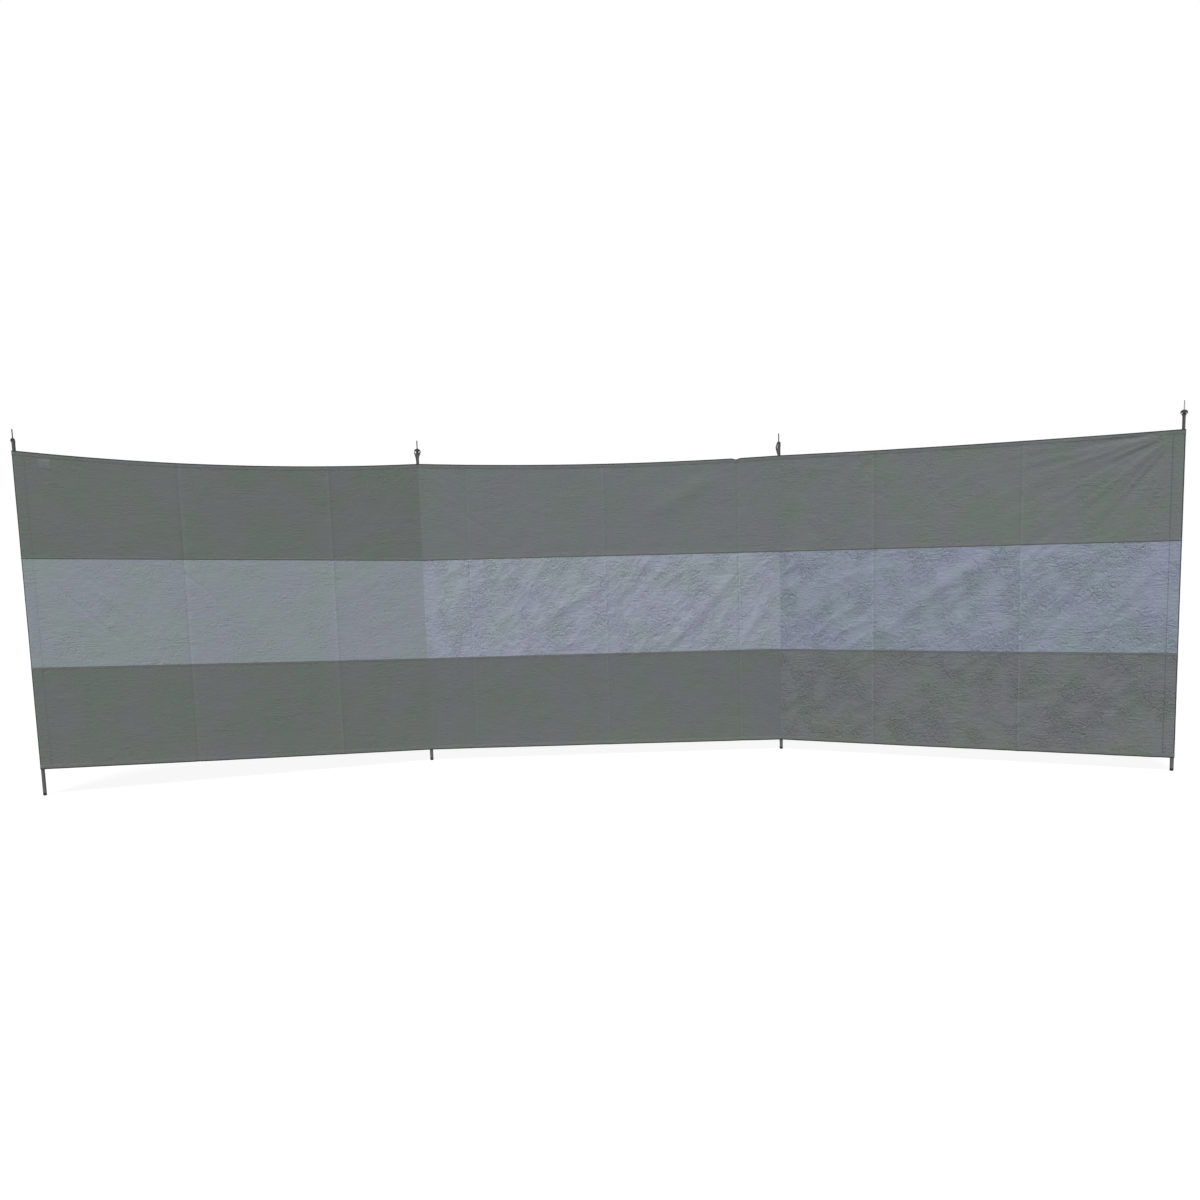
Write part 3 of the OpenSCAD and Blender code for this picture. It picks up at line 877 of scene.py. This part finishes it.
def stripe_sheet(bay, stripe, low, high):
    """One stripe of one bay: a level grid that follows the bay's stand-off."""
    settings = bpy.context.scene.windbreak_cloth
    light = stripe == "middle"
    step = settings.light_grid if light else settings.dark_grid
    x, v = np.meshgrid(columns_of(bay, step), stripe_rows(low, high, step))
    points = bay.place(x, v, bay.stand_off(x, v))
    finish = stripe_cloth(bay, stripe)
    name = f"{bay.name}_{stripe}_cloth"
    piece = grid_object(name, points, np.stack([x, v], axis=-1), finish, thickness=settings.thickness)
    carry(piece, bay)
    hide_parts(f"{bay.name}_{stripe}_stripe")
    return piece, (float(x.max() - x.min()), high - low)


def long_band(bay, name, bottom, height, thickness, finish, flip=False, ends=None, proud=0.0):
    """A hem, a seam or a patch: a flat band's outline carried along the bay, and shut at both ends. UV
    v is the distance from the band's lower edge, or from its upper edge if flip is set."""
    x = columns_of(bay, 6 * MM) if ends is None else even(*ends, 6 * MM)
    x = np.concatenate([x[:1], x, x[-1:]])
    across, front = band_profile(height, thickness)
    shut = np.ones(len(x))
    shut[[0, -1]] = 0
    grid_x, v = np.meshgrid(x, bottom + across)
    out = bay.stand_off(grid_x, v) + proud + front[:, None] * shut
    from_edge = height - across if flip else across
    uv = np.stack([grid_x, np.repeat(from_edge[:, None], len(x), axis=1)], axis=-1)
    return grid_object(name, bay.place(grid_x, v, out), uv, finish, ring=True)


def carry(piece, bay):
    """Makes a piece of the middle bay move with that bay's body. A piece of an end bay only has its place
    baked into its mesh.
    """
    if bay is MIDDLE:
        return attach(piece, bay.body)
    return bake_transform(piece)


class WINDBREAK_OT_bays(bpy.types.Operator):
    """Makes the striped cloth of the three bays, with its hems and seams"""

    bl_idname = "windbreak.bays"
    bl_label = "Bays of cloth"

    def execute(self, context):
        for bay in BAYS:
            hems = []
            for where, bottom, flip in (("bottom", 0.0, False), ("top", CLOTH_H - HEM_H, True)):
                hem = long_band(bay, f"{bay.name}_{where}_hem_cloth", bottom, HEM_H, HEM_T, hem_cloth(), flip)
                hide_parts(f"{bay.name}_{where}_hem")
                hems.append(hem)
            seams = [long_band(bay, "seam", v - SEAM_H / 2, SEAM_H, SEAM_T, seam_cloth(low), low)
                     for v, low in ((LOW_SEAM, True), (HIGH_SEAM, False))]
            seam = join(f"{bay.name}_seams", seams)
            for band in (*hems, seam):
                carry(band, bay)
            for stripe, low, high in STRIPES:
                piece, flat = stripe_sheet(bay, stripe, low, high)
        patch = long_band(LEFT, "left_bay_patch", *PATCH_V, PATCH_T, patch_cloth(), ends=PATCH_X,
                          proud=PATCH_PROUD)
        carry(patch, LEFT)
        return {"FINISHED"}


# ---------------------------------------------------------------- sleeves


def sleeve_path(r, reach):
    """Outline of a sleeve round a pole. From its stitches it runs along the front to the pole, round
    the far side in a circle, and straight back behind the cloth to the stitches, with a lap past them.
    The straight parts leave the circle as tangents. Gives the distance from the pole towards the
    stitches, the distance in front, and the way walked."""
    front, rear = np.array([reach, FRONT]), np.array([reach, FRONT - 0.8 * MM])
    first = math.atan2(front[1], reach) + math.acos(r / np.hypot(*front))
    last = math.atan2(rear[1], reach) - math.acos(r / np.hypot(*rear)) + math.tau
    arc = np.linspace(first, last, 64)
    circle = r * np.stack([np.cos(arc), np.sin(arc)], axis=-1)
    share = np.linspace(0, 1, 12)[:-1, None]
    ahead = front * (1 - share) + circle[0] * share
    behind = rear * (1 - share) + circle[-1] * share
    path = np.concatenate([ahead, circle, behind[::-1], [rear + (LAP / 2, 0), rear + (LAP, 0)]])
    return path, walked_along(path)


def path_normals(path):
    """Unit vectors across a path, pointing away from the pole."""
    along = np.gradient(path, axis=0)
    along /= np.linalg.norm(along, axis=1)[:, None]
    return np.stack([along[:, 1], -along[:, 0]], axis=-1)


def sleeve_pucker(walked, v, seed):
    """Small gathers round a sleeve: noise drawn out round the pole, gone at the stitches."""
    free = np.sqrt(np.clip(np.sin(math.pi * walked / (walked.max() - LAP)), 0, 1))
    gathers = gradient_noise(walked / 0.05 + 9, v / 0.035, seed) * 0.35 * MM
    slow = gradient_noise(walked / 0.09, v / 0.16, seed + 1) * 0.5 * MM
    return (np.abs(gathers) + np.abs(slow)) * free


def sleeve_strip(spec, name, heights, front, finish, from_edge=None, thickness=0.0):
    """A surface that follows a sleeve's outline: heights are its rows, and front is how far each row
    stands off the outline. With from_edge it is a closed band, shut at both ends."""
    pole, bay, middle, side = spec
    reach = abs(bay.stitches(side) - middle)
    path, walked = sleeve_path(pole.tube_r + SLEEVE_CLEAR, reach)
    closed = from_edge is not None
    if closed:
        path = np.concatenate([path[:1], path, path[-1:]])
        walked = np.concatenate([walked[:1], walked, walked[-1:]])
    shut = np.ones(len(walked))
    shut[[0, -1]] = 0 if closed else 1
    normal = path_normals(path[1:-1] if closed else path)
    if closed:
        normal = np.concatenate([normal[:1], normal, normal[-1:]])
    way, v = np.meshgrid(walked, heights)
    off = sleeve_pucker(way, v, int(middle * 10) + len(bay.name)) + np.asarray(front)[:, None] * shut
    x = middle + side * (path[:, 0] + normal[:, 0] * off)
    points = bay.place(x, v, path[:, 1] + normal[:, 1] * off)
    if closed:
        uv = np.stack([way, np.repeat(from_edge[:, None], len(walked), axis=1)], axis=-1)
    else:
        uv = np.stack([v, np.minimum(way, way.max() - way)], axis=-1)
    return grid_object(name, points, uv, finish, ring=closed, thickness=thickness), walked.max()


class WINDBREAK_OT_sleeves(bpy.types.Operator):
    """Makes the sleeves that hold the cloth on the poles, with their hems and seams"""

    bl_idname = "windbreak.sleeves"
    bl_label = "Sleeves"

    def execute(self, context):
        settings = context.scene.windbreak_cloth
        for spec in SLEEVES:
            pole, bay, _, side = spec
            bands = []
            for where, bottom, height, thickness, finish, flip in (
                    ("bottom", 0.0, HEM_H, HEM_T, hem_cloth(), False),
                    ("top", CLOTH_H - HEM_H, HEM_H, HEM_T, hem_cloth(), True),
                    ("low_seam", LOW_SEAM - SEAM_H / 2, SEAM_H, SEAM_T, seam_cloth(True), True),
                    ("high_seam", HIGH_SEAM - SEAM_H / 2, SEAM_H, SEAM_T, seam_cloth(), False)):
                across, front = band_profile(height, thickness)
                from_edge = height - across if flip else across
                band, _ = sleeve_strip(spec, f"{pole.name}_{where}", bottom + across, front, finish,
                                       from_edge)
                bands.append(band)
            band = join(f"{pole.name}_sleeve_bands", bands)
            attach(band, pole.body)
            for stripe, low, high in STRIPES:
                v = stripe_rows(low, high, 9 * MM)
                piece, round_it = sleeve_strip(spec, f"{pole.name}_{stripe}_sleeve", v, 0 * v,
                                               stripe_cloth(bay, stripe, side),
                                               thickness=settings.thickness)
                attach(piece, pole.body)
                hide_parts(pole.name + "_sleeve")
        return {"FINISHED"}


# ---------------------------------------------------------------- loops

RIM_H = 1.5 * MM
WEBBING_CLEAR = 0.3 * MM
EYELET_R = 3.3 * MM
# Points along a strand, and points across half the webbing's width
STRAND_POINTS = 28
ACROSS_POINTS = 6
# The share of its height at which a strand is out at the cap's rim
AT_RIM = 0.97
# The left and the right strand of each loop: where its foot is sewn, as degrees round from the front of
# the pole and millimetres from the upper tube, how far it bows out in millimetres, its twist in degrees,
# how far the foot reaches down into the sleeve in millimetres, and the power of the height that its way
# out to the cap's rim follows
STRANDS = (
    ((165, 1.1, 0.0, 0, 12, 9.0), (52, 1.1, 0.0, 0, 12, 9.0)),
    ((20, 1.1, 0.0, 75, 12, 2.6), (20, 2.9, 0.0, 75, 1, 2.6)),
    ((165, 1.1, 3.4, 80, 12, 1.0), (25, 1.1, 0.0, 0, 12, 9.0)),
    ((165, 1.1, 0.0, 0, 12, 14.0), (15, 1.1, 0.0, 0, 12, 14.0)),
)


def strand(side, where, pole, top):
    """One side of a loop, from its foot to just under the cap's rim: its angle round the pole and its
    distance from it change as a power of the height, with a bow of sine squared that is widest near the
    top. Gives the middle line and the direction of the tape's width, which turns from along the pole's
    round to across it by the twist."""
    angle, reach, bow, twist, depth, flare = where
    u = np.linspace(0, 1, STRAND_POINTS)[:-1]
    late = np.minimum(u / AT_RIM, 1) ** flare
    swell = np.sin(math.pi * u ** 2) ** 2
    turn = np.radians(angle + (90 - angle) * late)
    foot = pole.upper_r + reach * MM
    away = foot + (top[0] - foot) * late + bow * MM * swell
    z = -depth * MM * (1 - u) + top[1] * u
    lean = np.radians(twist) * np.sin(math.pi * u)
    line = np.stack([side * away * np.sin(turn), away * np.cos(turn), z], axis=-1)
    width = np.stack([side * (np.cos(turn) * np.cos(lean) + np.sin(turn) * np.sin(lean)),
                      -np.sin(turn) * np.cos(lean) + np.cos(turn) * np.sin(lean), 0 * u], axis=-1)
    return line, width


def loop_line(pole, strands, thickness):
    """Middle line of a loop and the direction of its width: up one side, over the cap as an arc round
    the dome's middle, and down the other side. Places are the distance to the right of the pole, the
    distance in front and the height above the cloth."""
    dome_h = pole.cap_top - pole.cap_rim - RIM_H
    dome_r = (pole.cap_r ** 2 + dome_h ** 2) / (2 * dome_h)
    half = math.asin(pole.cap_r / dome_r)
    r = dome_r + WEBBING_CLEAR + thickness / 2
    middle_z = pole.cap_top - pole.cloth_top - dome_r
    top = (r * math.sin(half), middle_z + r * math.cos(half))
    arc = np.linspace(-half, half, 2 * STRAND_POINTS + 1)
    over = np.stack([r * np.sin(arc), 0 * arc, middle_z + r * np.cos(arc)], axis=-1)
    across = np.repeat([[0.0, -1.0, 0.0]], len(arc), axis=0)
    up, up_width = strand(-1, strands[0], pole, top)
    down, down_width = strand(1, strands[1], pole, top)
    return np.concatenate([up, over, down[::-1]]), np.concatenate([up_width, across, down_width[::-1]])


class WINDBREAK_OT_loops(bpy.types.Operator):
    """Makes the webbing loops that hold the cloth up by the caps"""

    bl_idname = "windbreak.loops"
    bl_label = "Webbing loops"

    def execute(self, context):
        s = context.scene.windbreak_poles
        finish = material(webbing_material, "webbing", s.webbing)
        share = np.linspace(0, 1, ACROSS_POINTS)[:, None]
        for (pole, bay, middle, _), strands in zip(SLEEVES, STRANDS):
            line, width = loop_line(pole, strands, s.webbing_thickness)
            walked = walked_along(line)
            crown = len(line) // 2
            hole = np.sqrt(np.clip(EYELET_R ** 2 - (walked - walked[crown]) ** 2, 0, None))
            halves = []
            for front in (-1, 1):
                off = front * (hole + (s.webbing_width / 2 - hole) * share)
                place = line + off[..., None] * width
                points = bay.place(middle + place[..., 0], CLOTH_H + place[..., 2], place[..., 1])
                uv = np.stack([np.repeat(walked[None, :], ACROSS_POINTS, axis=0), off], axis=-1)
                if front < 0:
                    points, uv = points[::-1], uv[::-1]
                halves.append(grid_object("half", points, uv, finish))
            loop = join(pole.name + "_webbing_loop", halves)
            weld = loop.modifiers.new("weld", "WELD")
            weld.merge_threshold = 0.02 * MM
            thicken(loop, s.webbing_thickness)
            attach(loop, pole.body)
            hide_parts(pole.name + "_loop")
        return {"FINISHED"}


# ---------------------------------------------------------------- poles


class WINDBREAK_OT_poles(bpy.types.Operator):
    """Gives the tubes, feet, caps and pins their finishes"""

    bl_idname = "windbreak.poles"
    bl_label = "Poles"

    def execute(self, context):
        s = context.scene.windbreak_poles
        tube = material(tube_material, "tube_coat", s.tube)
        plastic = material(plastic_material, "moulded_plastic", s.plastic)
        # Painted light and shade: one steel for all pins, shaded on the first pole, more deeply on the second
        # and third, and lit on the fourth.
        dull = material(steel_material, "dull_steel", s.dull_steel, 0.2)
        dark = material(steel_material, "dark_steel", shade(s.dull_steel, 0.6), 0.0)
        steel = material(steel_material, "bright_steel", s.steel, 0.85)
        for pole, pin in zip(POLES, (dull, dark, dark, steel)):
            finishes = {"lower": tube, "upper": tube, "foot": plastic, "cap": plastic, "pin": pin}
            for part, finish in finishes.items():
                node = frame["nodes"][f"{pole}_{part}"]
                for slot in node.material_slots:
                    slot.material = finish
        return {"FINISHED"}


# ---------------------------------------------------------------- stage


# Width of the camera's sensor in millimetres, and of the floor in metres
SENSOR_W = 36
FLOOR_W = 80.0
# The floor lies just under the ground, so that nothing that stands on the ground flickers against it
FLOOR_DROP = 0.5 * MM


def look(pitch, yaw, roll):
    """Rotation of a camera that looks along +Y, turned right by yaw and up by pitch, then rolled."""
    ahead = Vector((math.sin(yaw) * math.cos(pitch), math.cos(yaw) * math.cos(pitch), math.sin(pitch)))
    right = Vector((math.cos(yaw), -math.sin(yaw), 0))
    up = right.cross(ahead)
    turned_right = right * math.cos(roll) - up * math.sin(roll)
    turned_up = right * math.sin(roll) + up * math.cos(roll)
    return Matrix((turned_right, turned_up, -ahead)).transposed()


def seen_directly(n):
    """1 for rays that show the surroundings as such: from the camera, off gloss or through glass."""
    rays = n.add("ShaderNodeLightPath")
    outputs = rays.socket.node.outputs
    return (Value(n, outputs["Is Camera Ray"]) + Value(n, outputs["Is Glossy Ray"])
            + Value(n, outputs["Is Transmission Ray"])).lesser(1.0)


def floor_material():
    """A pale floor that shows white, with a light shadow."""
    n = Nodes("floor")
    diffuse = n.add("ShaderNodeBsdfDiffuse", None, {"Color": (0.62, 0.62, 0.62, 1)})
    white = n.add("ShaderNodeEmission", None, {"Color": (1, 1, 1, 1), "Strength": 1.12})
    n.add_output(n.add("ShaderNodeMixShader", None, {0: seen_directly(n) * 0.80, 1: diffuse, 2: white}))
    return n.material


class WorldNodes(Nodes):
    """The node tree of the world."""

    def __init__(self, world):
        self.tree = world.node_tree
        self.tree.nodes.clear()


class WINDBREAK_OT_stage(bpy.types.Operator):
    """Makes the floor, the lights, the white surroundings and the camera"""

    bl_idname = "windbreak.stage"
    bl_label = "Stage"

    def execute(self, context):
        s = context.scene.windbreak_stage
        scene = context.scene
        scene.view_settings.view_transform = "Standard"

        world = bpy.data.worlds.new("studio")
        scene.world = world
        world.use_nodes = True
        n = WorldNodes(world)
        even_light = n.add("ShaderNodeBackground", None, {"Color": (1, 1, 1, 1), "Strength": s.sky})
        white = n.add("ShaderNodeBackground", None, {"Color": (1, 1, 1, 1), "Strength": 1.0})
        mixed = n.add("ShaderNodeMixShader", None, {0: seen_directly(n), 1: even_light, 2: white})
        output = n.tree.nodes.new("ShaderNodeOutputWorld")
        n.tree.links.new(mixed.socket, output.inputs["Surface"])

        half = FLOOR_W / 2
        x, y = np.meshgrid([-half, half], [-half, half])
        grid = np.stack([x, y, 0 * x - FLOOR_DROP], axis=-1)
        floor = grid_object("floor", grid, grid[..., :2] / half, floor_material())

        for name, energy, spread, direction in (
                ("key", s.key, 16, (0.13, 0.44, -0.89)),
                ("fill", s.fill, 60, (-0.7, 0.7, -0.35)),
                ("back", s.back, 40, (-0.1, -0.97, -0.22))):
            data = bpy.data.lights.new(name, "SUN")
            data.energy = energy
            data.angle = math.radians(spread)
            lamp = bpy.data.objects.new(name, data)
            lamp.rotation_euler = Vector(direction).to_track_quat("-Z", "Y").to_euler()
            lamp.location = (0, 0, 4)
            scene.collection.objects.link(lamp)

        data = bpy.data.cameras.new("camera")
        data.sensor_width = SENSOR_W
        data.lens = s.lens
        data.shift_y = s.shift_y
        camera = bpy.data.objects.new("camera", data)
        camera.matrix_world = Matrix.Translation(Vector(s.place)) @ look(s.pitch, s.yaw, s.roll).to_4x4()
        scene.collection.objects.link(camera)
        scene.camera = camera
        return {"FINISHED"}


# ---------------------------------------------------------------- add-on


class WINDBREAK_PT_panel(bpy.types.Panel):
    """Lists the steps that dress the windbreak."""

    bl_idname = "WINDBREAK_PT_panel"
    bl_label = "Windbreak"
    bl_space_type = "VIEW_3D"
    bl_region_type = "UI"
    bl_category = "Windbreak"

    def draw(self, context):
        for operator in OPERATORS:
            self.layout.operator(operator.bl_idname)


OPERATORS = (WINDBREAK_OT_stage, WINDBREAK_OT_poles, WINDBREAK_OT_sleeves, WINDBREAK_OT_bays,
             WINDBREAK_OT_loops)
CLASSES = (ClothSettings, PoleSettings, StageSettings, *OPERATORS, WINDBREAK_PT_panel)


def register():
    for item in CLASSES:
        bpy.utils.register_class(item)
    bpy.types.Scene.windbreak_cloth = PointerProperty(type=ClothSettings)
    bpy.types.Scene.windbreak_poles = PointerProperty(type=PoleSettings)
    bpy.types.Scene.windbreak_stage = PointerProperty(type=StageSettings)


def unregister():
    for name in ("windbreak_cloth", "windbreak_poles", "windbreak_stage"):
        delattr(bpy.types.Scene, name)
    for item in reversed(CLASSES):
        bpy.utils.unregister_class(item)


def main():
    register()
    bpy.ops.windbreak.stage()
    bpy.ops.windbreak.poles()
    bpy.ops.windbreak.sleeves()
    bpy.ops.windbreak.bays()
    bpy.ops.windbreak.loops()


if __name__ == "__main__":
    main()
